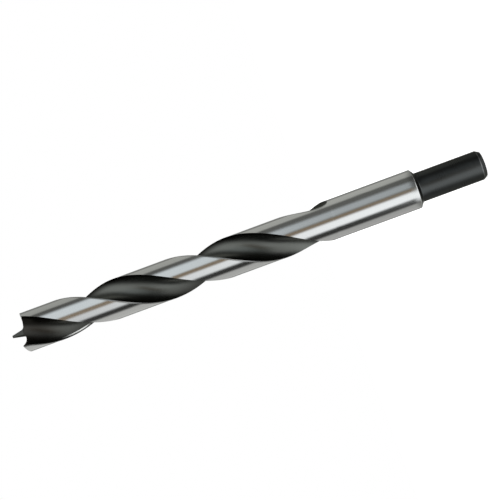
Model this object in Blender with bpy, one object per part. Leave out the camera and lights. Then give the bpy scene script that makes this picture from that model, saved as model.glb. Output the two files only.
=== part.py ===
"""Brad point wood drill bit with a reduced shank.

One steel piece: a flat-ended shank, a short shoulder cone, a plain ground body,
two right-hand helical flutes that run out into that body, and a ground point
with a centre brad, two hollow lips and two spurs.
The drill stands on its shank end: origin at the centre of that face, +Z to the point.
"""
import math

import bmesh
import bpy
from mathutils import Vector

# Driving dimensions, in metres and degrees

# Turned outline
body_diameter = 0.0127
shank_diameter = 0.0095
shank_length = 0.02135           # end face to the foot of the shoulder cone
shank_end_chamfer = 0.0008       # taken off the end face's radius
shank_end_chamfer_length = 0.0013
shoulder_length = 0.0011         # cone between shank and body
shoulder_foot_fillet = 0.0004
body_rim_rounding = 0.0003
body_length = 0.13175            # foot of the body to the spur tips

# Flutes
flute_lead = 0.0753              # height of one full turn
flute_opening = 95.3             # degrees of the body's circle that one flute takes
web_thickness = 0.0025           # steel left between the two flutes
flute_full_length = 0.0878       # spur tips to where the grinding wheel starts to lift
flute_wheel_radius = 0.0374      # wheel whose round leaves the run-out
run_out_turning = 0.71           # share of the helix's turn kept while the wheel lifts
run_out_slant = 10.3             # degrees off the axis that the wheel then travels
first_lip_direction = -124.2     # degrees about +Z of one lip, at the lip's low point
edge_rounding_width = 0.0005     # polished round along each leading edge
edge_rounding_depth = 0.00006
shallow_edge_share = 0.2         # of a shallow flute's depth that the round may take
spur_hone_angle = 7.5            # degrees that honing takes off the leading edge
spur_hone_length = 0.0036        # below the spur tips: the hone fades over it, the round ends in it

# Point
spur_height = 0.00107            # spur tips above the low point of the lips
brad_rise = 0.0034               # brad tip above the spur tips
brad_tip_width = 0.0006
brad_taper = 9.0                 # degrees between a brad face and the axis
brad_fillet = 0.0011             # between brad and lip
brad_turn = 13.5                 # degrees from the flute's middle to a brad face
lip_low_radius = 0.00285         # from the axis to the lip's low point
lip_hollow_radius = 0.0059       # of the hollow that runs up to the spur
lip_relief = 7.0                 # degrees at the rim, just behind the lip
heel_relief = 18.0               # degrees at the rim, where the land ends
relief_core_radius = 0.0013      # no relief inside this radius
grinding_overrun = 0.0008        # how far the grinding passes beyond the rim and the brad

# Resolution of the solid
flute_segments = 13
land_segments = 10
edge_segments = 2
turn_per_ring = math.radians(7.0)
run_out_rings = 11
plain_rings = 7
point_columns = 32
arc_segments = 6
corner_segments = 2
halvings = 60                    # steps of the search for a root
merge_distance = 0.0000013
sharp_edge_angle = 30.0          # degrees; a steeper edge is shaded sharp

# Sizes that follow
body_radius = body_diameter / 2
shank_radius = shank_diameter / 2
shoulder_slope = math.atan2(body_radius - shank_radius, shoulder_length)
rim_height = body_rim_rounding * math.tan(shoulder_slope / 2)
body_foot_z = shank_length + shoulder_length
spur_z = body_foot_z + body_length
lip_low_z = spur_z - spur_height
brad_tip_z = spur_z + brad_rise
flute_full_z = spur_z - flute_full_length
turn_per_metre = 2 * math.pi / flute_lead
helix_angle = math.atan(body_radius * turn_per_metre)
half_opening = math.radians(flute_opening) / 2
land_angle = math.pi - 2 * half_opening

# The flute's round section, from its opening and the web that it leaves
flute_depth = body_radius * math.cos(half_opening) - web_thickness / 2
half_chord = body_radius * math.sin(half_opening)
flute_radius = (half_chord ** 2 + flute_depth ** 2) / (2 * flute_depth)
flute_offset = web_thickness / 2 + flute_radius


def direction(angle):
    """Unit vector in the plane of a section."""
    return Vector((math.cos(angle), math.sin(angle)))


def arc(centre, radius, start, end, segments):
    """Points of a round about a centre, from one direction to another."""
    turns = [start + (end - start) * i / segments for i in range(segments + 1)]
    return [centre + direction(turn) * radius for turn in turns]


def root_between(function, low, high):
    """Root of a function that changes sign between low and high."""
    low_sign = function(low) > 0
    for _ in range(halvings):
        middle = (low + high) / 2
        if (function(middle) > 0) == low_sign:
            low = middle
        else:
            high = middle
    return (low + high) / 2


def lip_angle(z):
    """Direction of the first leading edge at a height: a right-hand helix."""
    return math.radians(first_lip_direction) + (z - lip_low_z) * turn_per_metre


def flute_centre(z, flute):
    """Centre of a flute's round section at a height.

    Below flute_full_z the wheel lifts by its own round, while the drill turns
    more slowly and the wheel travels across at a slant.
    """
    run = max(0.0, flute_full_z - z)
    slowed = run * (1 - run_out_turning)
    middle = lip_angle(z + slowed) + half_opening + flute * math.pi
    lift = (run / math.cos(helix_angle)) ** 2 / (2 * flute_wheel_radius)
    across = run * math.tan(math.radians(run_out_slant))
    outward = direction(middle)
    sideways = direction(middle + math.pi / 2)
    return outward * (flute_offset + lift) - sideways * across


def left_to_cut(z):
    """How deep a flute is at a height, below zero once the cutter has left."""
    return body_radius + flute_radius - flute_centre(z, 0).length


flute_end_z = root_between(left_to_cut, body_foot_z, flute_full_z)


def half_angle(centre, radius):
    """Half of the angle, about a flute's centre, that lies inside a circle about the axis."""
    distance = centre.length
    cosine = (flute_radius ** 2 + distance ** 2 - radius ** 2) / (2 * flute_radius * distance)
    return math.acos(max(-1.0, min(1.0, cosine)))


def sharpness(z):
    """How far up the honed stretch below the spurs a height is, from 0 to 1."""
    return max(0.0, min(1.0, 1 - (spur_z - z) / spur_hone_length))


def hone(z):
    """Angle that honing takes off the leading edge at a height near the spurs."""
    return math.radians(spur_hone_angle) * sharpness(z) ** 2


def flute_section(z, flute):
    """One flute at a height: its points, and the edge rounding's depth there."""
    centre = flute_centre(max(z, flute_end_z), flute)
    middle = math.atan2(centre.y, centre.x)
    depth = left_to_cut(z)
    if depth <= 0:
        # plain body: the same points fan out over the circle
        spread = half_opening * (flute_end_z - z) / (flute_end_z - body_foot_z)
        return arc(Vector((0, 0)), body_radius, middle - spread, middle + spread, flute_segments), 0.0
    rounding = min(edge_rounding_depth, shallow_edge_share * depth) * (1 - sharpness(z))
    leading = half_angle(centre, body_radius - rounding)
    heel = half_angle(centre, body_radius)
    points = []
    for i in range(flute_segments + 1):
        about_centre = leading - (leading + heel) * i / flute_segments
        point = centre + direction(middle + math.pi + about_centre) * flute_radius
        if about_centre > 0 and sharpness(z) > 0:
            outer = (point.length - web_thickness / 2) / (body_radius - web_thickness / 2)
            turned = math.atan2(point.y, point.x) - hone(z) * max(0.0, outer) ** 3
            point = direction(turned) * point.length
        points.append(point)
    return points, rounding


def ring(z):
    """The closed outline of the fluted body at a height."""
    flutes = [flute_section(z, flute) for flute in range(2)]
    edge_angle = edge_rounding_width / body_radius
    points = []
    for flute in range(2):
        section = flutes[flute][0]
        following, rounding = flutes[1 - flute]
        start = math.atan2(section[-1].y, section[-1].x)
        end = math.atan2(following[0].y, following[0].x)
        end += 2 * math.pi * math.ceil((start - end) / (2 * math.pi))
        points.extend(section)
        points.extend(arc(Vector((0, 0)), body_radius, start, end - edge_angle, land_segments)[1:])
        for i in range(1, edge_segments):
            share = i / edge_segments
            angle = end - edge_angle * (1 - share)
            points.append(direction(angle) * (body_radius - rounding * share ** 2))
    return points


def heights():
    """Heights of the fluted body's sections, from its foot to above the brad."""
    top = brad_tip_z + grinding_overrun / 2
    foot = body_foot_z + rim_height
    full_rings = math.ceil((top - flute_full_z) * turn_per_metre / turn_per_ring)
    plain = [foot + (flute_end_z - foot) * i / plain_rings for i in range(plain_rings)]
    # closer together where the flutes open fastest
    shares = [i * (i + run_out_rings) / (2 * run_out_rings ** 2) for i in range(run_out_rings)]
    leaving = [flute_end_z + (flute_full_z - flute_end_z) * share for share in shares]
    full = [flute_full_z + (top - flute_full_z) * i / full_rings for i in range(full_rings + 1)]
    return plain + leaving + full


def turned_foot():
    """Radius and height from the shank's end face up to the body's rim."""
    end_face = Vector((shank_radius - shank_end_chamfer, 0))
    chamfer_top = Vector((shank_radius, shank_end_chamfer_length))
    fillet_height = shoulder_foot_fillet * math.tan(shoulder_slope / 2)
    fillet_centre = Vector((shank_radius + shoulder_foot_fillet, shank_length - fillet_height))
    rim_centre = Vector((body_radius - body_rim_rounding, body_foot_z + rim_height))
    fillet = arc(fillet_centre, shoulder_foot_fillet, math.pi, math.pi - shoulder_slope, corner_segments)
    rim = arc(rim_centre, body_rim_rounding, -shoulder_slope, 0, corner_segments)
    return [end_face, chamfer_top] + fillet + rim[:-1]


def loft(bm, rings):
    """Skin of quads through rings of equal count, with a flat cap at each end."""
    rows = [[bm.verts.new(point) for point in points] for points in rings]
    for lower, upper in zip(rows, rows[1:]):
        for i in range(len(lower)):
            j = (i + 1) % len(lower)
            bm.faces.new((lower[i], lower[j], upper[j], upper[i]))
    bm.faces.new(list(reversed(rows[0])))
    bm.faces.new(rows[-1])


def mesh_object(name, bm):
    """Object from a bmesh, with coinciding points merged and faces pointing out."""
    bmesh.ops.remove_doubles(bm, verts=bm.verts, dist=merge_distance)
    bmesh.ops.dissolve_degenerate(bm, edges=bm.edges, dist=merge_distance)
    bmesh.ops.recalc_face_normals(bm, faces=bm.faces)
    mesh = bpy.data.meshes.new(name)
    bm.to_mesh(mesh)
    bm.free()
    obj = bpy.data.objects.new(name, mesh)
    bpy.context.scene.collection.objects.link(obj)
    return obj


def fluted_bar():
    """Shank, shoulder and body with both flutes, still with a flat upper end."""
    levels = heights()
    foot = ring(levels[0])
    rings = [[(p * (radius / body_radius)).to_3d() + Vector((0, 0, z)) for p in foot]
             for radius, z in turned_foot()]
    for z in levels:
        rings.append([p.to_3d() + Vector((0, 0, z)) for p in ring(z)])
    bm = bmesh.new()
    loft(bm, rings)
    return mesh_object("drill_bit", bm)


def point_profile():
    """Distance from the axis and height along the ground point: brad, fillet, lip hollow."""
    taper = math.radians(brad_taper)
    hollow = Vector((lip_low_radius, lip_low_z + lip_hollow_radius))
    tip_half = brad_tip_width / 2

    def fillet_centre(z):
        wall = tip_half + (brad_tip_z - z) * math.tan(taper)
        return Vector((wall + brad_fillet / math.cos(taper), z))

    def beyond_hollow(z):
        return (fillet_centre(z) - hollow).length - (lip_hollow_radius - brad_fillet)

    centre = fillet_centre(root_between(beyond_hollow, lip_low_z, hollow.y))
    low = centre - hollow
    low_turn = math.atan2(low.y, low.x)
    wall_turn = -math.pi + taper
    rim_turn = math.asin((body_radius + grinding_overrun - hollow.x) / lip_hollow_radius) - math.pi / 2
    fillet = arc(centre, brad_fillet, wall_turn, low_turn, arc_segments)
    lip = arc(hollow, lip_hollow_radius, low_turn, rim_turn, 2 * arc_segments)
    return [Vector((tip_half, brad_tip_z))] + fillet + lip[1:]


def column_directions(low, high, corner):
    """Directions over half a turn, evenly apart, with the brad's corners among them."""
    step = 2 * math.pi / point_columns
    closest = step / 100
    numbers = range(math.ceil((low - corner) / step), math.floor((high - corner) / step) + 1)
    between = [corner + number * step for number in numbers]
    return [low] + [angle for angle in between if low + closest < angle < high - closest] + [high]


def relief(behind, radius):
    """How far the front face has dropped at an angle behind its lip."""
    outer = max(0.0, (radius - relief_core_radius) / (body_radius - relief_core_radius))
    lip_slope = math.tan(math.radians(lip_relief))
    heel_slope = math.tan(math.radians(heel_relief))
    growth = (heel_slope - lip_slope) / (2 * land_angle)
    return body_radius * (lip_slope * behind + growth * behind ** 2) * outer ** 2


def point_cutter():
    """Everything that point grinding takes off, as one closed solid."""
    lip = lip_angle(lip_low_z)
    flute_middle = lip + half_opening
    brad_face = flute_middle + math.radians(brad_turn)
    around = []
    for half in range(2):
        high = flute_middle + half * math.pi
        behind_lip = lip + half * math.pi
        for angle in column_directions(high - math.pi, high, brad_face + math.pi / 4):
            around.append((angle, behind_lip - angle))
    square_limit = brad_tip_width / 2 + (brad_tip_z - lip_low_z) * math.tan(math.radians(brad_taper))
    rings = []
    for reached, z in point_profile():
        roundness = max(0.0, min(1.0, (reached - square_limit) / (lip_low_radius - square_limit)))
        points = []
        for angle, behind in around:
            turned = angle - brad_face
            square = 1 / max(abs(math.cos(turned)), abs(math.sin(turned)))
            radius = reached * (square + (1 - square) * roundness)
            height = Vector((0, 0, z - relief(behind, reached)))
            points.append((direction(angle) * radius).to_3d() + height)
        rings.append(points)
    above = brad_tip_z + grinding_overrun
    rings.append([Vector((point.x, point.y, above)) for point in rings[-1]])
    bm = bmesh.new()
    loft(bm, rings)
    cutter = mesh_object("point_cutter", bm)
    cutter.display_type = "WIRE"
    cutter.hide_render = True
    return cutter


def steel():
    """Bare ground steel of the body."""
    material = bpy.data.materials.new("ground_steel")
    material.use_nodes = True
    shader = material.node_tree.nodes["Principled BSDF"]
    shader.inputs["Base Color"].default_value = (0.56, 0.57, 0.57, 1.0)
    shader.inputs["Metallic"].default_value = 1.0
    shader.inputs["Roughness"].default_value = 0.25
    return material


def build():
    """The finished drill bit."""
    for obj in list(bpy.data.objects):
        bpy.data.objects.remove(obj, do_unlink=True)
    drill = fluted_bar()
    grinding = drill.modifiers.new("point grinding", "BOOLEAN")
    grinding.operation = "DIFFERENCE"
    grinding.solver = "EXACT"
    grinding.object = point_cutter()
    drill.data.materials.append(steel())
    drill.data.shade_smooth()
    drill.data.set_sharp_from_angle(angle=math.radians(sharp_edge_angle))


build()
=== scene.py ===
"""Looks of a brad point wood drill with a reduced shank.

The drill is one piece of steel. Its fine skin is grown by two node trees: the first
winds the two flutes along a turned outline, the second grinds the point. Lands and
plain body are bright ground steel, flutes, point and shank are black oxide.
"""
import math

import bmesh
import bpy
from mathutils import Matrix, Vector


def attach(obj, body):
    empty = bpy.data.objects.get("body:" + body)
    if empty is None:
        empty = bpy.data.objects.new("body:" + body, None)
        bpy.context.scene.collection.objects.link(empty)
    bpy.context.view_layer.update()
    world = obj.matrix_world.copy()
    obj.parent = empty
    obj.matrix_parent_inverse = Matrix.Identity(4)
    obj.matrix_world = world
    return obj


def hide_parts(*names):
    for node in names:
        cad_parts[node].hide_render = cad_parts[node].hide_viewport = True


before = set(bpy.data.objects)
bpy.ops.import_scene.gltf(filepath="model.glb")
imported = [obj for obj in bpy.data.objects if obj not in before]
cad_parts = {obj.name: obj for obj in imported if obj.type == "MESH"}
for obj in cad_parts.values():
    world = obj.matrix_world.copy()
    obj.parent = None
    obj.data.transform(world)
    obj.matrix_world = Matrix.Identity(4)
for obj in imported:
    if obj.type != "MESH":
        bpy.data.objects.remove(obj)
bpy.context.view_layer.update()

# Turned outline, in metres and degrees as everything below
body_radius = 0.00635
shank_radius = 0.00475
shank_length = 0.02135
end_chamfer = 0.0008
end_chamfer_length = 0.0013
end_edge_break = 0.00012         # small rounds on the chamfer's two edges
shoulder_length = 0.0011
shoulder_foot_fillet = 0.0004
body_rim_rounding = 0.0003
body_length = 0.13175

# Flutes
flute_lead = 0.0753
flute_opening = 95.3             # angle that one flute takes of the circle
web_thickness = 0.0025
flute_full_length = 0.0878       # length of full depth, below the spurs
flute_wheel_radius = 0.0374
run_out_turning = 0.71           # share of the helix's turning that goes on in the run-outs
run_out_slant = 10.3             # angle at which the wheel leaves the helix sideways
first_lip_direction = -124.2
edge_rounding_width = 0.0005
edge_rounding_depth = 0.00006
shallow_edge_share = 0.2         # most that the rounding takes of a shallow flute's depth
spur_hone_angle = 7.5            # how far honing turns the leading sides back at the spurs
spur_hone_length = 0.0036

# Point
spur_height = 0.00107
brad_rise = 0.0034
brad_tip_width = 0.0006
brad_taper = 9.0
brad_fillet = 0.0011
brad_turn = 13.5                 # from a flute's middle to a flat of the square brad
lip_low_radius = 0.00285
lip_hollow_radius = 0.0059
lip_relief = 7.0
heel_relief = 18.0
relief_core_radius = 0.0013      # inside it the face has no relief
grinding_overrun = 0.0008
grinding_height = 0.006          # how far the grinding's solid reaches above the brad

# Fineness of the skin
flute_columns = 36
land_columns = 20
edge_columns = 8
full_rows = 350
run_out_rows = 60
plain_rows = 12
shank_rows = 8
round_rows = 6
point_half_columns = 120
brad_rows = 12
lip_rows = 26
root_halvings = 60               # steps of a search, each of which halves what is left
merge_distance = 0.0000012
sharp_edge_angle = 30.0
edge_reach = 0.006               # how far from an edge its distance is kept for the finishes

# Places of the finishes
turned_down_share = 0.985        # a radius under this share of the body's is shoulder or shank
edge_strip_width = 0.0005        # duller strip of the lands beside each leading edge
painted_point_shade_middle = 0.1425       # height about which the flutes turn darker and browner, painted shade for the dark surroundings mirrored near the point
painted_point_shade_passage = 0.014
lead_shade_width = 0.006        # painted shade in the flute's hollow, from the leading edge out to this far
# painted shade in the flute's hollow, from the heel out to this far
heel_shade_width = 0.0026
edge_shade_passage = 0.012          # height over which the painted shade beside the edges sets in, where the run-outs begin
lead_highlight_start = 0.0004        # painted highlight in the flute, from its leading edge
lead_highlight_end = 0.0008
lead_highlight_blur = 0.0001
lead_highlight_foot = 0.1345
lead_highlight_foot_passage = 0.003
lead_highlight_top = 0.142
lead_highlight_top_passage = 0.004
glint_edge_width = 0.00022        # painted glint along the chamfer's upper edge, in patches

# Bright ground steel. A scale gives the streaks in a metre along X, Y and Z.
ground_dark = (0.385, 0.388, 0.386)
ground_light = (0.425, 0.43, 0.43)
edge_strip_grey = (0.2, 0.203, 0.2)
ring_scale = (90.0, 90.0, 9000.0)
ground_patch_scale = (140.0, 140.0, 60.0)
ring_share = 0.6                 # of the colour's unevenness, and the rest lies in patches
ground_roughness = 0.11
ring_roughness = 0.05            # what rings, patches and the strip beside an edge add to it
ground_patch_roughness = 0.03
edge_strip_roughness = 0.24
ring_depth = 0.000004
ring_strength = 0.25

# Black oxide
oxide_glance_tint = (0.58, 0.58, 0.56, 1.0)
oxide_patch_scale = (260.0, 260.0, 180.0)
oxide_line_share = 0.5
oxide_line_roughness = 0.08
oxide_patch_roughness = 0.1
oxide_line_depth = 0.00002
oxide_line_strength = 0.4
turned_line_scale = (60.0, 60.0, 6500.0)
flute_line_scale = (0.6, 1.0, 2300.0)   # across a flute by its angle, unused, along its helix
point_dark = (0.045, 0.046, 0.043)
point_light = (0.06, 0.062, 0.058)
point_roughness = 0.26
shank_dark = (0.038, 0.040, 0.040)
shank_light = (0.048, 0.051, 0.051)
shank_roughness = 0.2
flute_dark = (0.068, 0.071, 0.066)
flute_light = (0.086, 0.089, 0.082)
flute_roughness = 0.24
# darker, browner painted shade of the flutes near the point
painted_point_shade = (0.031, 0.029, 0.026)
# painted shade in the flutes' hollow, beside the leading edge and beside the heel
lead_side_shade = (0.021, 0.021, 0.019)
heel_side_shade = (0.004, 0.0038, 0.003)
# painted highlight along the flutes' leading edges
lead_highlight_grey = (0.36, 0.36, 0.35)
# painted glint of the chamfer's upper edge
glint_grey = (0.17, 0.175, 0.18)
glint_patches_scale = (700.0, 700.0, 300.0)
glint_patches_middle = 0.45
glint_patches_passage = 0.4
glint_patches_least = 0.3               # share of the painted glint that shows all along the chamfer's edge

# Heights and angles that follow
shoulder_slope = math.atan2(body_radius - shank_radius, shoulder_length)
rim_height = body_rim_rounding * math.tan(shoulder_slope / 2)
body_foot_z = shank_length + shoulder_length
body_rim_z = body_foot_z + rim_height
spur_z = body_foot_z + body_length
lip_low_z = spur_z - spur_height
brad_tip_z = spur_z + brad_rise
brad_slope = math.tan(math.radians(brad_taper))
brad_foot_half_width = brad_tip_width / 2 + (brad_tip_z - lip_low_z) * brad_slope
flute_full_z = spur_z - flute_full_length
bar_top_z = brad_tip_z + grinding_overrun / 2
turn_per_metre = 2 * math.pi / flute_lead
helix_angle = math.atan(body_radius * turn_per_metre)
half_opening = math.radians(flute_opening) / 2
lip_turn = math.radians(first_lip_direction)

# The flute's round section
flute_depth = body_radius * math.cos(half_opening) - web_thickness / 2
half_chord = body_radius * math.sin(half_opening)
flute_radius = (half_chord ** 2 + flute_depth ** 2) / (2 * flute_depth)
flute_offset = web_thickness / 2 + flute_radius


def direction(angle):
    """Unit vector in a plane."""
    return Vector((math.cos(angle), math.sin(angle)))


def arc(centre, radius, start, end, segments):
    """Points of a round about a centre, from one direction to another."""
    turns = [start + (end - start) * i / segments for i in range(segments + 1)]
    return [centre + direction(turn) * radius for turn in turns]


def root_between(function, low, high):
    """Root of a function that changes sign between low and high."""
    low_sign = function(low) > 0
    for _ in range(root_halvings):
        middle = (low + high) / 2
        if (function(middle) > 0) == low_sign:
            low = middle
        else:
            high = middle
    return (low + high) / 2


def steps(low, high, count):
    """Even steps from low up to, but without, high."""
    return [low + (high - low) * i / count for i in range(count)]


def rounded_corner(before, corner, after, radius, segments):
    """Arc that replaces a corner of an outline."""
    towards_before = (before - corner).normalized()
    towards_after = (after - corner).normalized()
    half = towards_before.angle(towards_after) / 2
    centre = corner + (towards_before + towards_after).normalized() * (radius / math.sin(half))
    first = corner + towards_before * (radius / math.tan(half)) - centre
    last = corner + towards_after * (radius / math.tan(half)) - centre
    start = math.atan2(first.y, first.x)
    sweep = math.atan2(last.y, last.x) - start
    sweep = (sweep + math.pi) % (2 * math.pi) - math.pi
    return arc(centre, radius, start, start + sweep, segments)


def flute_distance(z):
    """How far the centre of a flute's section is from the axis, at a height."""
    run = max(0.0, flute_full_z - z)
    lift = (run / math.cos(helix_angle)) ** 2 / (2 * flute_wheel_radius)
    across = run * math.tan(math.radians(run_out_slant))
    return math.hypot(flute_offset + lift, across)


def depth_left(z):
    """How deep a flute still is, at a height."""
    return body_radius + flute_radius - flute_distance(z)


flute_end_z = root_between(depth_left, body_foot_z, flute_full_z)


def turned_outline():
    """Radius and height along the blank, from the middle of its end face to the bar's top."""
    axis_foot = Vector((0, 0))
    face_edge = Vector((shank_radius - end_chamfer, 0))
    chamfer_top = Vector((shank_radius, end_chamfer_length))
    above_chamfer = Vector((shank_radius, shank_length))
    points = [axis_foot, face_edge / 2]
    points += rounded_corner(axis_foot, face_edge, chamfer_top, end_edge_break, round_rows)
    points += rounded_corner(face_edge, chamfer_top, above_chamfer, end_edge_break, round_rows)
    fillet_height = shoulder_foot_fillet * math.tan(shoulder_slope / 2)
    fillet_centre = Vector((shank_radius + shoulder_foot_fillet, shank_length - fillet_height))
    rim_centre = Vector((body_radius - body_rim_rounding, body_rim_z))
    shank_heights = steps(points[-1].y, fillet_centre.y, shank_rows)[1:]
    points += [Vector((shank_radius, z)) for z in shank_heights]
    fillet_end = math.pi - shoulder_slope
    points += arc(fillet_centre, shoulder_foot_fillet, math.pi, fillet_end, round_rows)
    points += arc(rim_centre, body_rim_rounding, -shoulder_slope, 0, round_rows)
    # rows closer together where the flutes open fastest
    leaving = [flute_end_z + (flute_full_z - flute_end_z) * share * (1 + share) / 2
               for share in steps(0, 1, run_out_rows)]
    body = steps(body_rim_z, flute_end_z, plain_rows)[1:] + leaving
    body += steps(flute_full_z, bar_top_z, full_rows) + [bar_top_z]
    points += [Vector((body_radius, z)) for z in body]
    points += [Vector((body_radius / 2, bar_top_z)), Vector((0, bar_top_z))]
    return points


def point_outline():
    """Radius and height of what grinding leaves: brad, fillet, hollow, then its solid's outside."""
    taper = math.radians(brad_taper)
    hollow = Vector((lip_low_radius, lip_low_z + lip_hollow_radius))
    tip_half = brad_tip_width / 2

    def fillet_centre(z):
        """Centre of a round that touches the brad's flank, at a height."""
        wall = tip_half + (brad_tip_z - z) * brad_slope
        return Vector((wall + brad_fillet / math.cos(taper), z))

    def beyond_hollow(z):
        """How far that round reaches past the lip's hollow, negative where it stays inside."""
        return (fillet_centre(z) - hollow).length - (lip_hollow_radius - brad_fillet)

    centre = fillet_centre(root_between(beyond_hollow, lip_low_z, hollow.y))
    low_turn = math.atan2(centre.y - hollow.y, centre.x - hollow.x)
    rim = body_radius + grinding_overrun
    rim_turn = math.asin((rim - hollow.x) / lip_hollow_radius) - math.pi / 2
    brad_foot = centre + direction(-math.pi + taper) * brad_fillet
    tip_edge = Vector((tip_half, brad_tip_z))
    points = [Vector((0, brad_tip_z))]
    points += [tip_edge.lerp(brad_foot, share) for share in steps(0, 1, brad_rows)]
    points += arc(centre, brad_fillet, -math.pi + taper, low_turn, brad_rows)
    points += arc(hollow, lip_hollow_radius, low_turn, rim_turn, lip_rows)[1:]
    above = brad_tip_z + grinding_height
    points += [Vector((rim, above)), Vector((0, above))]
    return points


def outline_object(name, points):
    """Open line of points in the XZ plane, as a mesh."""
    mesh = bpy.data.meshes.new(name)
    corners = [(point.x, 0, point.y) for point in points]
    edges = [(i, i + 1) for i in range(len(points) - 1)]
    mesh.from_pydata(corners, edges, [])
    obj = bpy.data.objects.new(name, mesh)
    bpy.context.scene.collection.objects.link(obj)
    return obj


class Amount:
    """A number that runs through a node tree. Its arithmetic makes Math nodes."""

    def __init__(self, tree, socket):
        self.tree = tree
        self.socket = socket

    def maths(self, operation, *others):
        """What a Math node makes of this and other amounts or numbers."""
        made = self.tree.nodes.new("ShaderNodeMath")
        made.operation = operation
        for entry, other in zip(made.inputs, (self,) + others):
            if isinstance(other, Amount):
                self.tree.links.new(other.socket, entry)
            else:
                entry.default_value = other
        return Amount(self.tree, made.outputs[0])

    def __add__(self, other):
        return self.maths("ADD", other)

    def __radd__(self, other):
        return self.maths("ADD", other)

    def __sub__(self, other):
        return self.maths("SUBTRACT", other)

    def __rsub__(self, other):
        return (self * -1.0) + other

    def __mul__(self, other):
        return self.maths("MULTIPLY", other)

    def __truediv__(self, other):
        return self.maths("DIVIDE", other)

    def __pow__(self, power):
        return self.maths("POWER", power)

    def clamped(self, low=0.0, high=1.0):
        """The value itself between two limits, the nearer limit outside them."""
        return self.maths("MAXIMUM", low).maths("MINIMUM", high)

    def sine(self):
        """Sine of an angle in radians."""
        return self.maths("SINE")

    def cosine(self):
        """Cosine of an angle in radians."""
        return self.maths("COSINE")

    def either(self, when_zero, when_one):
        """when_one where this is 1, when_zero where it is 0."""
        return when_zero + (when_one - when_zero) * self

    def rise(self, middle, width):
        """0 below a value, 1 above it, with a smooth passage of some width."""
        share = ((self - middle) / width + 0.5).clamped()
        return share * share * (3.0 - share * 2.0)

    def within(self, width):
        """1 at nothing, 0 from a width on, with a smooth passage between."""
        return 1.0 - self.rise(width / 2, width)


def node(tree, kind, **settings):
    """New node with its settings."""
    made = tree.nodes.new(kind)
    for name, value in settings.items():
        setattr(made, name, value)
    return made


def axes(tree, vector):
    """X, Y and Z of a vector."""
    parts = node(tree, "ShaderNodeSeparateXYZ")
    tree.links.new(vector, parts.inputs[0])
    return [Amount(tree, output) for output in parts.outputs]


def start_tree(name, numbers, objects=(), materials=()):
    """Geometry tree with named inputs. Returns it, its input node and each number's Amount."""
    tree = bpy.data.node_groups.new(name, "GeometryNodeTree")
    tree.interface.new_socket("Geometry", in_out="INPUT", socket_type="NodeSocketGeometry")
    tree.interface.new_socket("Geometry", in_out="OUTPUT", socket_type="NodeSocketGeometry")
    for label, value in numbers.items():
        whole = isinstance(value, int)
        kind = "NodeSocketInt" if whole else "NodeSocketFloat"
        tree.interface.new_socket(label, in_out="INPUT", socket_type=kind)
    for label in objects:
        tree.interface.new_socket(label, in_out="INPUT", socket_type="NodeSocketObject")
    for label in materials:
        tree.interface.new_socket(label, in_out="INPUT", socket_type="NodeSocketMaterial")
    entry = tree.nodes.new("NodeGroupInput")
    amounts = {label: Amount(tree, entry.outputs[label]) for label in numbers}
    return tree, entry, amounts


def finish_tree(tree, geometry, assignments):
    """Ends a tree: real geometry, one Set Material for each selection and material, output."""
    real = node(tree, "GeometryNodeRealizeInstances")
    tree.links.new(geometry, real.inputs[0])
    socket = real.outputs[0]
    for selection, material in assignments:
        finish = node(tree, "GeometryNodeSetMaterial")
        tree.links.new(socket, finish.inputs["Geometry"])
        if selection is not None:
            tree.links.new(selection, finish.inputs["Selection"])
        tree.links.new(material, finish.inputs["Material"])
        socket = finish.outputs[0]
    out = tree.nodes.new("NodeGroupOutput")
    tree.links.new(socket, out.inputs[0])


def grid_along(tree, outline, columns):
    """Grid with a row for each outline point. Returns it with its column, radius and height."""
    count = node(tree, "GeometryNodeAttributeDomainSize", component="MESH")
    tree.links.new(outline, count.inputs[0])
    rows = Amount(tree, count.outputs["Point Count"])
    grid = node(tree, "GeometryNodeMeshGrid")
    for label, amount in (("Size X", columns), ("Size Y", rows - 1.0),
                          ("Vertices X", columns + 1.0), ("Vertices Y", rows)):
        tree.links.new(amount.socket, grid.inputs[label])
    position = node(tree, "GeometryNodeInputPosition").outputs[0]
    grid_x, grid_y, _ = axes(tree, position)
    column = grid_x + columns / 2.0
    row = (grid_y + (rows - 1.0) / 2.0).maths("ROUND")
    sample = node(tree, "GeometryNodeSampleIndex", data_type="FLOAT_VECTOR", domain="POINT")
    tree.links.new(outline, sample.inputs["Geometry"])
    tree.links.new(position, sample.inputs["Value"])
    tree.links.new(row.socket, sample.inputs["Index"])
    reach, _, height = axes(tree, sample.outputs[0])
    return grid.outputs["Mesh"], column, reach, height


def wrap_round(tree, mesh, radius, angle, height, gap):
    """Moves a grid's points to their radius, angle and height, and closes it."""
    place = node(tree, "ShaderNodeCombineXYZ")
    parts = (radius * angle.cosine(), radius * angle.sine(), height)
    for entry, amount in zip(place.inputs, parts):
        tree.links.new(amount.socket, entry)
    move = node(tree, "GeometryNodeSetPosition")
    tree.links.new(mesh, move.inputs["Geometry"])
    tree.links.new(place.outputs[0], move.inputs["Position"])
    merge = node(tree, "GeometryNodeMergeByDistance")
    tree.links.new(move.outputs[0], merge.inputs["Geometry"])
    tree.links.new(gap.socket, merge.inputs["Distance"])
    return merge.outputs[0]


def kept_on(tree, geometry, domain, amount, kind="FLOAT"):
    """Keeps an amount on the geometry as it is now. Returns the geometry and the kept amount."""
    capture = node(tree, "GeometryNodeCaptureAttribute", domain=domain)
    capture.capture_items.new(kind, "kept")
    tree.links.new(geometry, capture.inputs["Geometry"])
    tree.links.new(amount.socket, capture.inputs[1])
    return capture.outputs["Geometry"], capture.outputs[1]


def stored(tree, geometry, name, amount):
    """Stores an amount on the mesh's face corners, for the materials to read."""
    store = node(tree, "GeometryNodeStoreNamedAttribute", data_type="FLOAT", domain="CORNER")
    store.inputs["Name"].default_value = name
    tree.links.new(geometry, store.inputs["Geometry"])
    tree.links.new(amount.socket, store.inputs["Value"])
    return store.outputs[0]


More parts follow.
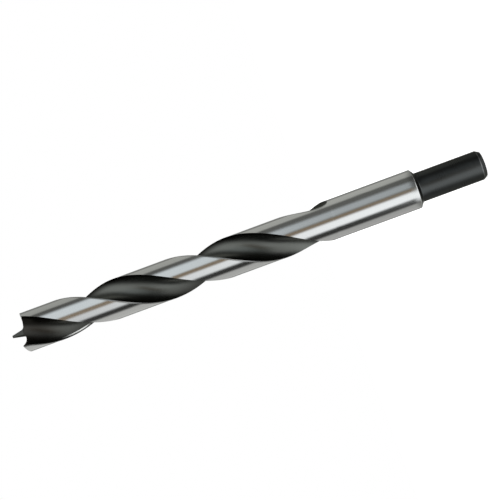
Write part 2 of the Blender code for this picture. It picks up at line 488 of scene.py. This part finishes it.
fluting_sizes = {
    "Flute Columns": flute_columns,
    "Land Columns": land_columns,
    "Edge Columns": edge_columns,
    "Body Radius": body_radius,
    "Body Foot": body_foot_z,
    "Body Rim": body_rim_z,
    "Flute End": flute_end_z,
    "Flute Full": flute_full_z,
    "Spur Top": spur_z,
    "Lip Low": lip_low_z,
    "Lip Direction": lip_turn,
    "Turn per Metre": turn_per_metre,
    "Half Opening": half_opening,
    "Web Thickness": web_thickness,
    "Flute Radius": flute_radius,
    "Flute Offset": flute_offset,
    "Helix Angle": helix_angle,
    "Wheel Radius": flute_wheel_radius,
    "Run-out Turning": run_out_turning,
    "Run-out Slant": math.radians(run_out_slant),
    "Edge Width": edge_rounding_width,
    "Edge Depth": edge_rounding_depth,
    "Shallow Edge Share": shallow_edge_share,
    "Hone Angle": math.radians(spur_hone_angle),
    "Hone Length": spur_hone_length,
    "Edge Reach": edge_reach,
    "Turned Down Share": turned_down_share,
    "Merge Distance": merge_distance,
}


def fluting_tree():
    """Winds two flutes, with their lands, edges and run-outs, along the turned outline."""
    tree, entry, size = start_tree(
        "fluting", fluting_sizes, materials=("Ground Steel", "Black Flutes", "Black Shank"))
    radius = size["Body Radius"]
    half_columns = size["Flute Columns"] + size["Land Columns"] + size["Edge Columns"]
    mesh, column, reach, height = grid_along(tree, entry.outputs["Geometry"], half_columns * 2.0)

    # which half the column lies in, and its shares of flute, land and rounded edge
    half = (column / half_columns).maths("FLOOR")
    number = column - half * half_columns
    flute_share = (number / size["Flute Columns"]).clamped()
    past_flute = number - size["Flute Columns"]
    land_share = (past_flute / size["Land Columns"]).clamped()
    edge_share = ((past_flute - size["Land Columns"]) / size["Edge Columns"]).clamped()
    in_flute = number.maths("LESS_THAN", size["Flute Columns"])

    # centre of the flute's section, which lifts and slants off where the wheel leaves
    level = height.maths("MAXIMUM", size["Body Rim"])
    cut_level = level.maths("MAXIMUM", size["Flute End"])
    run = (size["Flute Full"] - cut_level).maths("MAXIMUM", 0.0)
    slowed = run * (1.0 - size["Run-out Turning"])
    middle = (size["Lip Direction"] + size["Half Opening"] + half * math.pi
              + (cut_level + slowed - size["Lip Low"]) * size["Turn per Metre"])
    lift = (run / size["Helix Angle"].cosine()) ** 2.0 / (size["Wheel Radius"] * 2.0)
    outward = size["Flute Offset"] + lift
    across = run * size["Run-out Slant"].maths("TANGENT")
    distance = (outward * outward + across * across).maths("SQRT")
    middle = middle - across.maths("ARCTAN2", outward)
    depth = (radius + size["Flute Radius"] - distance).maths("MAXIMUM", 0.0)
    sharpness = (1.0 - (size["Spur Top"] - level) / size["Hone Length"]).clamped()
    full_rounding = size["Edge Depth"].maths("MINIMUM", size["Shallow Edge Share"] * depth)
    rounding = full_rounding * (1.0 - sharpness)

    def half_angle(at_radius):
        """Angle about the flute's centre from its deepest line to where it reaches a radius."""
        cosine = ((size["Flute Radius"] ** 2.0 + distance ** 2.0 - at_radius ** 2.0)
                  / (size["Flute Radius"] * distance * 2.0))
        return cosine.clamped(-1.0, 1.0).maths("ARCCOSINE")

    leading = half_angle(radius - rounding)
    heel = half_angle(radius)

    def seen_from_axis(about_centre):
        """Distance from the axis, and angle off the flute's middle, of a point of its round."""
        x = distance - size["Flute Radius"] * about_centre.cosine()
        y = size["Flute Radius"] * about_centre.sine()
        return (x * x + y * y).maths("SQRT"), y.maths("ARCTAN2", x)

    # honing turns the leading side back near the spur
    hone = size["Hone Angle"] * sharpness * sharpness

    def honed(at_radius):
        """How far honing turns the leading side back at a radius, none at the core."""
        core = size["Web Thickness"] / 2.0
        return hone * ((at_radius - core) / (radius - core)).clamped() ** 3.0

    about = leading - (leading + heel) * flute_share
    flute_reach, flute_turn = seen_from_axis(about)
    flute_turn = flute_turn + honed(flute_reach) * about.maths("GREATER_THAN", 0.0)
    heel_turn = seen_from_axis(heel)[1]
    lead_turn = seen_from_axis(leading)[1] + honed(radius - rounding)

    # plain body: the same columns fan out over the circle
    plain = level.maths("LESS_THAN", size["Flute End"])
    plain_length = size["Flute End"] - size["Body Foot"]
    fan = size["Half Opening"] * (size["Flute End"] - level) / plain_length
    flute_turn = plain.either(flute_turn, fan * (1.0 - flute_share * 2.0))
    flute_reach = plain.either(flute_reach, radius)
    heel_turn = plain.either(heel_turn, fan)
    lead_turn = plain.either(lead_turn, fan)
    rounding = plain.either(rounding, 0.0)

    edge_turn = size["Edge Width"] / radius
    land_width = (math.pi - lead_turn) - heel_turn
    land_turn = heel_turn + (land_width - edge_turn) * land_share + edge_turn * edge_share
    land_reach = radius - rounding * edge_share * edge_share
    angle = middle + in_flute.either(land_turn, flute_turn * -1.0)
    own_reach = in_flute.either(land_reach, flute_reach)

    # how far each point is from its leading edge and its heel
    flute_width = size["Flute Radius"] * (leading + heel)
    past_heel = land_turn - heel_turn
    from_lead = in_flute.either((land_width - past_heel) * radius, flute_width * flute_share)
    from_heel = in_flute.either(past_heel * radius, flute_width * (1.0 - flute_share))
    for name, distance_kept in (("from_lead", from_lead), ("from_heel", from_heel)):
        distance_kept = plain.either(distance_kept, size["Edge Reach"])
        mesh = stored(tree, mesh, name, distance_kept.clamped(0.0, size["Edge Reach"]))
    cut = in_flute * level.maths("GREATER_THAN", size["Flute End"])
    mesh, cut_faces = kept_on(tree, mesh, "FACE", cut, "BOOLEAN")
    narrow = reach.maths("LESS_THAN", radius * size["Turned Down Share"])
    turned_down = narrow * height.maths("LESS_THAN", size["Body Rim"])
    mesh, shank_faces = kept_on(tree, mesh, "FACE", turned_down, "BOOLEAN")

    mesh = wrap_round(tree, mesh, own_reach * reach / radius, angle, height, size["Merge Distance"])
    finish_tree(tree, mesh, (
        (None, entry.outputs["Ground Steel"]),
        (cut_faces, entry.outputs["Black Flutes"]),
        (shank_faces, entry.outputs["Black Shank"]),
    ))
    return tree


grinding_sizes = {
    "Half Columns": point_half_columns,
    "Body Radius": body_radius,
    "Lip Direction": lip_turn,
    "Half Opening": half_opening,
    "Brad Turn": math.radians(brad_turn),
    "Lip Low Radius": lip_low_radius,
    "Square Limit": brad_foot_half_width,
    "Core Radius": relief_core_radius,
    "Lip Slope": math.tan(math.radians(lip_relief)),
    "Heel Slope": math.tan(math.radians(heel_relief)),
    "Merge Distance": merge_distance,
}


def grinding_tree():
    """Grinds the point: takes the solid above brad, lips and relief off the fluted bar."""
    tree, entry, size = start_tree(
        "point grinding", grinding_sizes, objects=("Point Outline",), materials=("Black Point",))
    outline = node(tree, "GeometryNodeObjectInfo")
    tree.links.new(entry.outputs["Point Outline"], outline.inputs["Object"])
    per_half = size["Half Columns"] + 1.0
    mesh, column, reach, height = grid_along(tree, outline.outputs["Geometry"], per_half * 2.0)

    half = (column / per_half).maths("FLOOR")
    share = (column - half * per_half) / size["Half Columns"]
    lip = size["Lip Direction"] + half * math.pi
    angle = lip + size["Half Opening"] - (1.0 - share) * math.pi
    behind = lip - angle

    # square brad that turns round towards the lips
    from_face = angle - (size["Lip Direction"] + size["Half Opening"] + size["Brad Turn"])
    along_face = from_face.cosine().maths("ABSOLUTE")
    across_face = from_face.sine().maths("ABSOLUTE")
    flatness = along_face.maths("MAXIMUM", across_face)
    square = flatness ** -1.0
    blend_width = size["Lip Low Radius"] - size["Square Limit"]
    roundness = ((reach - size["Square Limit"]) / blend_width).clamped()
    radius = reach * roundness.either(square, 1.0)

    # the face drops behind each lip, faster towards the heel
    relieved_width = size["Body Radius"] - size["Core Radius"]
    outer = ((reach - size["Core Radius"]) / relieved_width).maths("MAXIMUM", 0.0)
    land_angle = math.pi - size["Half Opening"] * 2.0
    growth = (size["Heel Slope"] - size["Lip Slope"]) / (land_angle * 2.0)
    drop = size["Body Radius"] * behind * (size["Lip Slope"] + growth * behind) * outer * outer
    cutter = wrap_round(tree, mesh, radius, angle, height - drop, size["Merge Distance"])

    black = node(tree, "GeometryNodeSetMaterial")
    tree.links.new(cutter, black.inputs["Geometry"])
    tree.links.new(entry.outputs["Black Point"], black.inputs["Material"])
    cut = node(tree, "GeometryNodeMeshBoolean", operation="DIFFERENCE", solver="EXACT")
    tree.links.new(entry.outputs["Geometry"], cut.inputs["Mesh 1"])
    tree.links.new(black.outputs[0], cut.inputs["Mesh 2"])
    finish_tree(tree, cut.outputs["Mesh"], ())
    return tree


def add_tree(obj, tree, values):
    """Runs a tree on an object, with its inputs set by their identifiers."""
    modifier = obj.modifiers.new(tree.name, "NODES")
    modifier.node_group = tree
    for item in tree.interface.items_tree:
        if item.in_out == "INPUT" and item.name in values:
            modifier[item.identifier] = values[item.name]


def baked(source, name):
    """Plain mesh object of what an object's modifiers make."""
    graph = bpy.context.evaluated_depsgraph_get()
    mesh = bpy.data.meshes.new_from_object(source.evaluated_get(graph), depsgraph=graph)
    mesh.name = name
    mesh.materials.pop(index=0)  # empty slot that the bare grid had
    piece = bpy.data.objects.new(name, mesh)
    bpy.context.scene.collection.objects.link(piece)
    return piece


def cut_to_triangles(mesh):
    """Makes every face a triangle, so that no many-sided face is left to fold over."""
    work = bmesh.new()
    work.from_mesh(mesh)
    bmesh.ops.triangulate(work, faces=work.faces)
    work.to_mesh(mesh)
    work.free()


def shader_start(name):
    """New material. Returns it with its tree, its Principled shader and its Object coordinates."""
    material = bpy.data.materials.new(name)
    material.use_nodes = True
    tree = material.node_tree
    shader = tree.nodes["Principled BSDF"]
    coordinates = node(tree, "ShaderNodeTexCoord")
    return material, tree, shader, coordinates.outputs["Object"]


def streaks(tree, vector, scale, detail=2.0):
    """Noise stretched by a scale for each axis, from 0 to 1."""
    mapping = node(tree, "ShaderNodeMapping")
    mapping.inputs["Scale"].default_value = scale
    tree.links.new(vector, mapping.inputs["Vector"])
    noise = node(tree, "ShaderNodeTexNoise")
    noise.inputs["Scale"].default_value = 1.0
    noise.inputs["Detail"].default_value = detail
    tree.links.new(mapping.outputs[0], noise.inputs["Vector"])
    return Amount(tree, noise.outputs["Fac"])


def tint(tree, amount, dark, light):
    """Colour between two, by an amount from 0 to 1."""
    # of its sockets, inputs 6 and 7 and output 2 are the ones for colours
    mix = node(tree, "ShaderNodeMix", data_type="RGBA")
    tree.links.new(amount.socket, mix.inputs["Factor"])
    for entry, colour in ((mix.inputs[6], dark), (mix.inputs[7], light)):
        if isinstance(colour, tuple):
            entry.default_value = colour + (1.0,)
        else:
            tree.links.new(colour, entry)
    return mix.outputs[2]


def bump(tree, shader, height, depth, strength):
    """Fine relief on a finish."""
    relief = node(tree, "ShaderNodeBump")
    relief.inputs["Strength"].default_value = strength
    relief.inputs["Distance"].default_value = depth
    tree.links.new(height.socket, relief.inputs["Height"])
    tree.links.new(relief.outputs[0], shader.inputs["Normal"])


def read_distance(tree, name):
    """A distance that the fluting left on the mesh."""
    attribute = node(tree, "ShaderNodeAttribute", attribute_name=name)
    return Amount(tree, attribute.outputs["Fac"])


def ground_steel():
    """Cylindrically ground steel: fine rings round the axis, duller along each leading edge."""
    material, tree, shader, place = shader_start("ground_steel")
    rings = streaks(tree, place, ring_scale, detail=3.0)
    patches = streaks(tree, place, ground_patch_scale)
    beside_edge = 1.0 - read_distance(tree, "from_lead").rise(edge_strip_width, edge_strip_width)
    colour = tint(tree, rings * ring_share + patches * (1 - ring_share), ground_dark, ground_light)
    tree.links.new(tint(tree, beside_edge, colour, edge_strip_grey), shader.inputs["Base Color"])
    unevenness = rings * ring_roughness + patches * ground_patch_roughness
    roughness = unevenness + beside_edge * edge_strip_roughness + ground_roughness
    tree.links.new(roughness.socket, shader.inputs["Roughness"])
    shader.inputs["Metallic"].default_value = 1.0
    bump(tree, shader, rings, ring_depth, ring_strength)
    return material


def oxide_start(name, lines, dark, light, roughness):
    """Blackened steel with the fine lines of its machining. Its colour is still to be linked."""
    material, tree, shader, place = shader_start(name)
    marks = lines(tree, place)
    patches = streaks(tree, place, oxide_patch_scale, detail=3.0)
    uneven_roughness = marks * oxide_line_roughness + patches * oxide_patch_roughness + roughness
    tree.links.new(uneven_roughness.socket, shader.inputs["Roughness"])
    shader.inputs["Metallic"].default_value = 1.0
    shader.inputs["Specular Tint"].default_value = oxide_glance_tint
    bump(tree, shader, marks, oxide_line_depth, oxide_line_strength)
    colour = tint(tree, marks * oxide_line_share + patches * (1 - oxide_line_share), dark, light)
    return material, tree, shader, place, colour


def point_oxide():
    """Blackened point, the same all over."""
    material, tree, shader, place, colour = oxide_start(
        "black_point", flute_lines, point_dark, point_light, point_roughness)
    tree.links.new(colour, shader.inputs["Base Color"])
    return material


def shank_oxide():
    """Blackened shank, with a patchy painted glint along the chamfer's upper edge."""
    material, tree, shader, place, colour = oxide_start(
        "black_shank", turned_lines, shank_dark, shank_light, shank_roughness)
    _, _, height = axes(tree, place)
    from_edge = (height - end_chamfer_length).maths("ABSOLUTE")
    # painted glint along the chamfer's edge, broken into patches
    glint_patches = streaks(tree, place, glint_patches_scale, detail=3.0).rise(glint_patches_middle, glint_patches_passage)
    glint = from_edge.within(glint_edge_width) * (glint_patches * (1 - glint_patches_least) + glint_patches_least)
    tree.links.new(tint(tree, glint, colour, glint_grey), shader.inputs["Base Color"])
    return material


def flute_oxide():
    """Blackened flutes: painted shade by the edges, and browner painted shade near the point."""
    material, tree, shader, place, colour = oxide_start(
        "black_flutes", flute_lines, flute_dark, flute_light, flute_roughness)
    _, _, height = axes(tree, place)
    from_lead = read_distance(tree, "from_lead")
    from_heel = read_distance(tree, "from_heel")
    # painted shade: darker and browner towards the point, where the flutes mirror dark surroundings
    near_point = height.rise(painted_point_shade_middle, painted_point_shade_passage)
    colour = tint(tree, near_point, colour, painted_point_shade)
    # painted shade along the edges of a full flute, where its hollow mirrors its own dark walls
    full_flute = height.rise(flute_full_z, edge_shade_passage)
    lead_edge_shade = from_lead.within(lead_shade_width) * (1.0 - near_point) * full_flute
    colour = tint(tree, lead_edge_shade, colour, lead_side_shade)
    heel_edge_shade = from_heel.within(heel_shade_width) * full_flute
    colour = tint(tree, heel_edge_shade, colour, heel_side_shade)
    # painted highlight: pale line along the leading edges, where the curled rake face catches the
    # light
    past_start = from_lead.rise(lead_highlight_start, lead_highlight_blur)
    before_end = 1.0 - from_lead.rise(lead_highlight_end, lead_highlight_blur)
    above_foot = height.rise(lead_highlight_foot, lead_highlight_foot_passage)
    below_top = 1.0 - height.rise(lead_highlight_top, lead_highlight_top_passage)
    line = past_start * before_end * above_foot * below_top
    tree.links.new(tint(tree, line, colour, lead_highlight_grey), shader.inputs["Base Color"])
    return material


def turned_lines(tree, place):
    """Lines round the axis, from turning."""
    return streaks(tree, place, turned_line_scale)


def flute_lines(tree, place):
    """Lines across a flute, from its grinding."""
    x, y, z = axes(tree, place)
    # direction that the first flute's middle would have at the foot, on the same helix
    foot_direction = lip_turn + half_opening - lip_low_z * turn_per_metre
    turned = y.maths("ARCTAN2", x) - z * turn_per_metre - foot_direction
    off_middle = (turned + math.pi / 2).maths("FLOORED_MODULO", math.pi) - math.pi / 2
    slope = math.tan(helix_angle)
    along = z * (1 + slope ** 2) + off_middle * (slope * body_radius)
    line = node(tree, "ShaderNodeCombineXYZ")
    tree.links.new(off_middle.socket, line.inputs["X"])
    tree.links.new(along.socket, line.inputs["Z"])
    return streaks(tree, line.outputs[0], flute_line_scale, detail=3.0)


# Floor
floor_radius = 2.0
floor_sides = 96
floor_grey = (0.8, 0.8, 0.8, 1.0)
floor_roughness = 0.9
floor_camera_glow = 0.75         # makes it white to the camera, apart from the drill's shadow


def studio_floor():
    """Pale floor that the drill stands on."""
    bpy.ops.mesh.primitive_circle_add(
        vertices=floor_sides, radius=floor_radius, fill_type="NGON", location=(0, 0, 0))
    floor = bpy.context.object
    floor.name = "floor"
    floor.visible_glossy = False
    material = bpy.data.materials.new("pale_floor")
    material.use_nodes = True
    tree = material.node_tree
    shader = tree.nodes["Principled BSDF"]
    shader.inputs["Base Color"].default_value = floor_grey
    shader.inputs["Roughness"].default_value = floor_roughness
    path = node(tree, "ShaderNodeLightPath")
    glow = Amount(tree, path.outputs["Is Camera Ray"]) * floor_camera_glow
    shader.inputs["Emission Color"].default_value = (1.0, 1.0, 1.0, 1.0)
    tree.links.new(glow.socket, shader.inputs["Emission Strength"])
    floor.data.materials.append(material)


# Studio surround: round cloth about the set in three tiers, with soft-edged panels hung before it,
# and four more panels behind the drill that reach through all tiers. A panel runs between two
# azimuths, in degrees from the camera's side towards the lower side of its picture. Each pair of
# values holds at the lower and at the upper one of the panel's heights.
plain_hue = (0.99, 1.0, 0.94)
cool_hue = (0.935, 1.0, 1.03)
amber_hue = (1.28, 1.0, 0.7)
clean_hue = (1.0, 1.0, 0.97)
white_hue = (0.98, 1.0, 1.01)
unbounded = 400                  # azimuth past the whole circle, where a panel has no edge
low_heights = (-0.38, -0.14)
front_cloth_heights = (0.05, 0.14)
middle_heights = (0.0, 0.3)
high_heights = (0.45, 0.95)


def alike(value):
    """The same at a panel's lower and upper height."""
    return (value, value)


low_tier = {
    "backdrop": dict(azimuths=alike((-unbounded, unbounded)), level=alike(0.32)),
    "floor card": dict(azimuths=((80, unbounded), (110, unbounded)), level=(0.9, 0.32),
                       soft=(40, 10), heights=low_heights),
    "dim cloth": dict(azimuths=alike((-84, -16)), level=alike(0.1), soft=(20, 32)),
    "soft box": dict(azimuths=((-32, 70), (12, 70)), level=(2.6, 2.1), soft=(38, 44),
                     hue=white_hue, heights=low_heights),
}
middle_tier = {
    "upper cloth": dict(azimuths=alike((-unbounded, 0)), level=(0.84, 0.7)),
    "lower cloth": dict(azimuths=alike((0, unbounded)), level=(0.8, 1.0), hue=clean_hue),
    "upper flag": dict(azimuths=((-85, -20), (-86, -20)), level=(0.24, 0.18), soft=(14, 10)),
    "camera side": dict(azimuths=alike((-40, 30)), level=alike(0.42)),
    "amber strip": dict(azimuths=((-9, 30), (-10, 30)), level=(0.33, 0.36), hue=amber_hue),
    "front cloth": dict(azimuths=((-48, -15), (-57, -10)), level=(0.86, 1.42), soft=(21, 13),
                        hue=cool_hue, heights=front_cloth_heights),
    "soft box": dict(azimuths=((10, 65), (14, 65)), level=(2.06, 1.28), soft=(15, 10),
                     hue=white_hue),
    "lower flag": dict(azimuths=((52, 88), (48, 80)), level=alike(0.07), soft=(17, 18)),
}
high_tier = {
    "backdrop": dict(azimuths=alike((-unbounded, unbounded)), level=alike(0.3)),
    "top light": dict(azimuths=((-55, 30), (-80, 0)), level=(2.1, 1.9), soft=(40, 45),
                      hue=white_hue, heights=high_heights),
}
rear_panels = {
    "upper rear flag": dict(azimuths=alike((-unbounded, -132)), level=alike(0.36), soft=(10, 12)),
    "lower rear flag": dict(azimuths=alike((145, unbounded)), level=alike(0.3), soft=(14, 10)),
    "lower rear light": dict(azimuths=alike((164, unbounded)), level=(1.4, 1.7), soft=(12, 10),
                             hue=white_hue),
    "upper rear light": dict(azimuths=((-unbounded, -172), (-unbounded, -168)), level=(1.4, 1.7),
                             soft=(10, 16), hue=white_hue),
}
surround_radius = 0.8
surround_foot = -1.2
surround_top = 1.6
surround_sides = 128
middle_tier_foot = -0.09         # lower down lies what the shank mirrors, and the flutes aslant
middle_tier_foot_passage = 0.02
middle_tier_top = 0.39           # what lies higher up only the flutes mirror
middle_tier_top_passage = 0.07


def between(share, pair):
    """A value that goes from the first to the second of a pair."""
    return share * (pair[1] - pair[0]) + pair[0]


def hung(tree, behind, azimuth, height, azimuths, level,
         soft=(10, 10), hue=plain_hue, heights=middle_heights):
    """Colour of the surround with one panel hung before what is behind it."""
    share = ((height - heights[0]) / (heights[1] - heights[0])).clamped()
    start = between(share, (azimuths[0][0], azimuths[1][0]))
    end = between(share, (azimuths[0][1], azimuths[1][1]))
    there = azimuth.rise(start, soft[0]) * (1.0 - azimuth.rise(end, soft[1]))
    glow = between(share, level)
    colour = node(tree, "ShaderNodeCombineXYZ")
    for entry, part in zip(colour.inputs, hue):
        tree.links.new((glow * part).socket, entry)
    return tint(tree, there, behind, colour.outputs[0])


def studio_surround():
    """Round cloth about the set: what the bright steel reflects."""
    bpy.ops.mesh.primitive_cylinder_add(
        vertices=surround_sides, radius=surround_radius, depth=surround_top - surround_foot,
        end_fill_type="NOTHING", location=(0, 0, (surround_top + surround_foot) / 2))
    cloth = bpy.context.object
    cloth.name = "surround"
    cloth.visible_camera = False
    material = bpy.data.materials.new("surround_cloth")
    material.use_nodes = True
    tree = material.node_tree
    tree.nodes.remove(tree.nodes["Principled BSDF"])
    place = node(tree, "ShaderNodeNewGeometry").outputs["Position"]
    x, y, height = axes(tree, place)
    azimuth = (x * -1.0).maths("ARCTAN2", y * -1.0) * math.degrees(1)
    colours = []
    for tier in (low_tier, middle_tier, high_tier):
        colour = (0.0, 0.0, 0.0)
        for panel in tier.values():
            colour = hung(tree, colour, azimuth, height, **panel)
        colours.append(colour)
    low, middle, high = colours
    above_foot = height.rise(middle_tier_foot, middle_tier_foot_passage)
    above_top = height.rise(middle_tier_top, middle_tier_top_passage)
    colour = tint(tree, above_top, tint(tree, above_foot, low, middle), high)
    for panel in rear_panels.values():
        colour = hung(tree, colour, azimuth, height, **panel)
    glow = node(tree, "ShaderNodeEmission")
    tree.links.new(colour, glow.inputs["Color"])
    tree.links.new(glow.outputs[0], tree.nodes["Material Output"].inputs["Surface"])
    cloth.data.materials.append(material)


def white_world():
    """Plain white all round."""
    world = bpy.data.worlds.new("white_world")
    world.use_nodes = True
    background = world.node_tree.nodes["Background"]
    background.inputs["Color"].default_value = (1.0, 1.0, 1.0, 1.0)
    background.inputs["Strength"].default_value = 1.0
    bpy.context.scene.world = world


# Camera: level with the middle of the standing drill, rolled so that the drill lies in its picture
camera_sensor = 36.0             # in millimetres, like the lens
camera_distance = 0.377313
camera_aim = Vector((-0.0000759, 0.0, 0.077596))
camera_elevation = 1.8037
camera_roll = -110.217
camera_lens = 86.4


def photo_camera():
    """Camera at the photograph's viewing angle."""
    data = bpy.data.cameras.new("camera")
    data.sensor_width = camera_sensor
    data.lens = camera_lens
    camera = bpy.data.objects.new("camera", data)
    bpy.context.scene.collection.objects.link(camera)
    elevation = math.radians(camera_elevation)
    roll = math.radians(camera_roll)
    forward = Vector((0, math.cos(elevation), math.sin(elevation)))
    level_right = Vector((1, 0, 0))
    level_up = level_right.cross(forward)
    right = level_right * math.cos(roll) + level_up * math.sin(roll)
    up = right.cross(forward)
    turn = Matrix((right, up, -forward)).transposed().to_4x4()
    camera.matrix_world = Matrix.Translation(camera_aim - forward * camera_distance) @ turn
    bpy.context.scene.camera = camera


def drill():
    """The drill's fine skin, in place of its plain solid."""
    blank = outline_object("turned_outline", turned_outline())
    point = outline_object("point_outline", point_outline())
    flutes = flute_oxide()
    shank = shank_oxide()
    tip = point_oxide()
    steel = ground_steel()
    add_tree(blank, fluting_tree(), {
        **fluting_sizes, "Ground Steel": steel, "Black Flutes": flutes, "Black Shank": shank})
    add_tree(blank, grinding_tree(), {**grinding_sizes, "Point Outline": point, "Black Point": tip})
    piece = baked(blank, "drill_bit_steel")
    bpy.data.objects.remove(blank)
    bpy.data.objects.remove(point)
    cut_to_triangles(piece.data)
    piece.data.shade_smooth()
    piece.data.set_sharp_from_angle(angle=math.radians(sharp_edge_angle))
    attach(piece, "root")
    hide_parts("drill_bit")


photo_camera()
white_world()
studio_surround()
studio_floor()
drill()
bpy.context.scene.view_settings.view_transform = "Standard"
